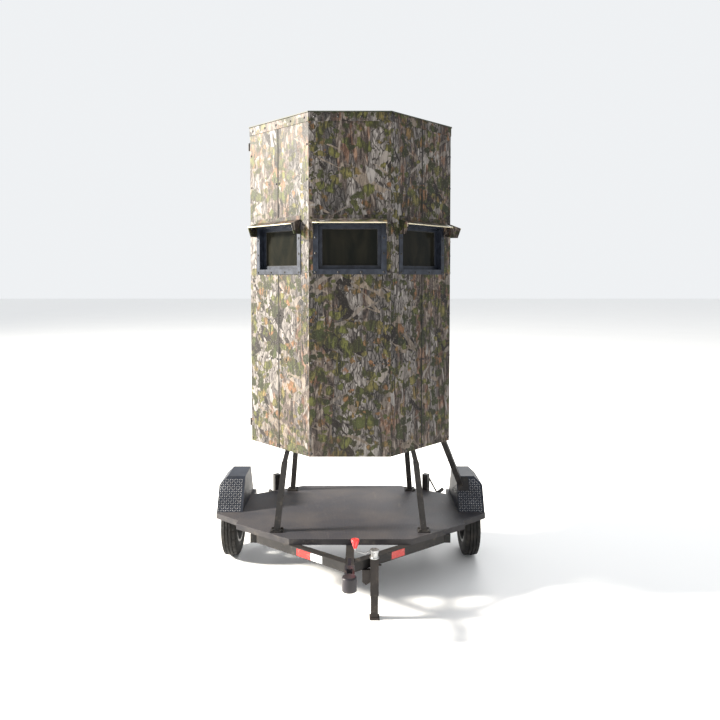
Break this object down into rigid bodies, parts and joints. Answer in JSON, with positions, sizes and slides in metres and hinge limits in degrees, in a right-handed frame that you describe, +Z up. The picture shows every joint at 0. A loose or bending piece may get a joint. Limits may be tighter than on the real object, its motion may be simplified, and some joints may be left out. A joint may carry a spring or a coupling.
{
  "type": "trailer-mounted hunting blind",
  "caption": "Octagonal box blind with hooded windows and a door, on splayed legs over a small single-axle trailer with a tongue and crank jacks.",
  "frame": {"origin": "centre of the bounding box, on the ground", "axes": "+Z up, -Y towards the coupler, +X to the right seen from the coupler"},
  "size_m": [1.89, 1.836, 3.116],
  "materials": {
    "camo_panel": "printed woodland pattern, satin",
    "camo_sheet": "printed woodland pattern, satin",
    "black_steel": "black enamel, satin, dusty",
    "deck_steel": "charcoal enamel with fine tread grain, satin",
    "frame_aluminium": "blue-black anodised, satin",
    "galvanised": "zinc plated",
    "screw_black": "black coated screw heads",
    "tread_rubber": "matt rubber",
    "wheel_steel": "dark grey painted steel wheel",
    "red_reflector": "reflective red",
    "white_reflector": "reflective white",
    "red_grip": "moulded, glossy",
    "black_grip": "soft grip",
    "tinted_pane": "smoked acrylic",
    "plywood": "sealed plywood",
    "roof_sheet": "dark sheet, satin"
  },
  "bodies": {
    "trailer": {"deck_plate": "deck_steel", "deck_rim": "deck_steel", "deck_frame": "black_steel", "tongue_rails": "black_steel", "tongue_tube": "black_steel", "coupler_body": "black_steel", "axle_beam": "black_steel", "leaf_springs": "black_steel", "spring_hardware": "galvanised", "fender_left": "deck_steel", "fender_right": "deck_steel", "red_reflectors": "red_reflector", "white_reflectors": "white_reflector", "tongue_jack_tube": "black_steel", "tongue_jack_head": "galvanised", "rear_jack_tubes": "black_steel", "leg_base_plates": "black_steel", "stand_legs": "black_steel", "leg_brackets": "black_steel", "side_brace": "black_steel", "deck_bolts": "galvanised", "floor_frame": "black_steel", "floor_panel": "plywood", "wall_frame": "black_steel", "roof_panel": "roof_sheet", "roof_fascia": "camo_sheet", "door_hinges": "black_steel", "window_frames": "frame_aluminium", "window_hoods": "camo_sheet", "wall_screws": "screw_black", "wall_front": "camo_panel", "wall_front_right": "camo_panel", "wall_right": "camo_panel", "wall_rear_right": "camo_panel", "wall_rear": "camo_panel", "wall_rear_left": "camo_panel", "wall_left": "camo_panel", "wall_front_left": "camo_panel"},
    "wheel_left": {"tyre_left": "tread_rubber", "wheel_left": "wheel_steel"},
    "wheel_right": {"tyre_right": "tread_rubber", "wheel_right": "wheel_steel"},
    "latch": {"coupler_latch": "black_steel"},
    "tongue_leg": {"tongue_jack_leg": "black_steel"},
    "tongue_crank": {"tongue_jack_crank": "galvanised", "tongue_jack_knob": "red_grip"},
    "rear_leg_left": {"rear_jack_leg_left": "black_steel"},
    "rear_leg_right": {"rear_jack_leg_right": "black_steel"},
    "crank_left": {"rear_crank_left": "black_grip"},
    "crank_right": {"rear_crank_right": "black_grip"},
    "door": {"door_panel": "camo_panel", "door_frame": "black_steel"},
    "door_lever": {"door_handle": "black_steel"},
    "window_front": {"pane_front": "tinted_pane"},
    "window_front_right": {"pane_front_right": "tinted_pane"},
    "window_right": {"pane_right": "tinted_pane"},
    "window_rear_right": {"pane_rear_right": "tinted_pane"},
    "window_rear": {"pane_rear": "tinted_pane"},
    "window_rear_left": {"pane_rear_left": "tinted_pane"},
    "window_front_left": {"pane_front_left": "tinted_pane"}
  },
  "joints": [
    {"name": "wheel_left_spin", "type": "hinge", "parent": "trailer", "child": "wheel_left", "pos_m": [-0.8675, 0.31, 0.255], "axis": [1, 0, 0], "continuous": true},
    {"name": "wheel_right_spin", "type": "hinge", "parent": "trailer", "child": "wheel_right", "pos_m": [0.8675, 0.31, 0.255], "axis": [1, 0, 0], "continuous": true},
    {"name": "latch_lift", "type": "hinge", "parent": "trailer", "child": "latch", "pos_m": [0, -0.805, 0.373], "axis": [1, 0, 0], "range_deg": [0, 60]},
    {"name": "tongue_crank_turn", "type": "hinge", "parent": "trailer", "child": "tongue_crank", "pos_m": [0.148, -0.629, 0.408], "axis": [0, 0, 1], "range_deg": [0, 9210]},
    {"name": "tongue_leg_slide", "type": "slide", "parent": "trailer", "child": "tongue_leg", "axis": [0, 0, 1], "range_m": [0, 0.13]},
    {"name": "rear_crank_left_turn", "type": "hinge", "parent": "trailer", "child": "crank_left", "pos_m": [-0.60271, 0.60292, 0.484], "axis": [-0.4956, 0.8685, 0], "range_deg": [0, 9210]},
    {"name": "rear_leg_left_slide", "type": "slide", "parent": "trailer", "child": "rear_leg_left", "axis": [0, 0, 1], "range_m": [0, 0.13]},
    {"name": "rear_crank_right_turn", "type": "hinge", "parent": "trailer", "child": "crank_right", "pos_m": [0.60271, 0.60292, 0.484], "axis": [0.4956, 0.8685, 0], "range_deg": [0, 9210]},
    {"name": "rear_leg_right_slide", "type": "slide", "parent": "trailer", "child": "rear_leg_right", "axis": [0, 0, 1], "range_m": [0, 0.13]},
    {"name": "door_swing", "type": "hinge", "parent": "trailer", "child": "door", "pos_m": [-0.6793, -0.045, 1.99], "axis": [0, 0, 1], "range_deg": [0, 100]},
    {"name": "door_lever_turn", "type": "hinge", "parent": "door", "child": "door_lever", "pos_m": [-0.68, 0.35, 1.95], "axis": [1, 0, 0], "range_deg": [0, 60]},
    {"name": "window_front_tilt", "type": "hinge", "parent": "trailer", "child": "window_front", "pos_m": [0, -0.4496, 2.088], "axis": [-1, 0, 0], "range_deg": [0, 150]},
    {"name": "window_front_right_tilt", "type": "hinge", "parent": "trailer", "child": "window_front_right", "pos_m": [0.42436, -0.25436, 2.088], "axis": [-0.7071, -0.7071, 0], "range_deg": [0, 150]},
    {"name": "window_right_tilt", "type": "hinge", "parent": "trailer", "child": "window_right", "pos_m": [0.6196, 0.17, 2.088], "axis": [0, -1, 0], "range_deg": [0, 150]},
    {"name": "window_rear_right_tilt", "type": "hinge", "parent": "trailer", "child": "window_rear_right", "pos_m": [0.42436, 0.59436, 2.088], "axis": [0.7071, -0.7071, 0], "range_deg": [0, 150]},
    {"name": "window_rear_tilt", "type": "hinge", "parent": "trailer", "child": "window_rear", "pos_m": [0, 0.7896, 2.088], "axis": [1, 0, 0], "range_deg": [0, 150]},
    {"name": "window_rear_left_tilt", "type": "hinge", "parent": "trailer", "child": "window_rear_left", "pos_m": [-0.42436, 0.59436, 2.088], "axis": [0.7071, 0.7071, 0], "range_deg": [0, 150]},
    {"name": "window_front_left_tilt", "type": "hinge", "parent": "trailer", "child": "window_front_left", "pos_m": [-0.42436, -0.25436, 2.088], "axis": [-0.7071, 0.7071, 0], "range_deg": [0, 150]}
  ],
  "couplings": [
    {"joint": "tongue_leg_slide", "follows": "tongue_crank_turn", "m_per_rad": 0.00080851},
    {"joint": "rear_leg_left_slide", "follows": "rear_crank_left_turn", "m_per_rad": 0.00080851},
    {"joint": "rear_leg_right_slide", "follows": "rear_crank_right_turn", "m_per_rad": 0.00080851}
  ]
}
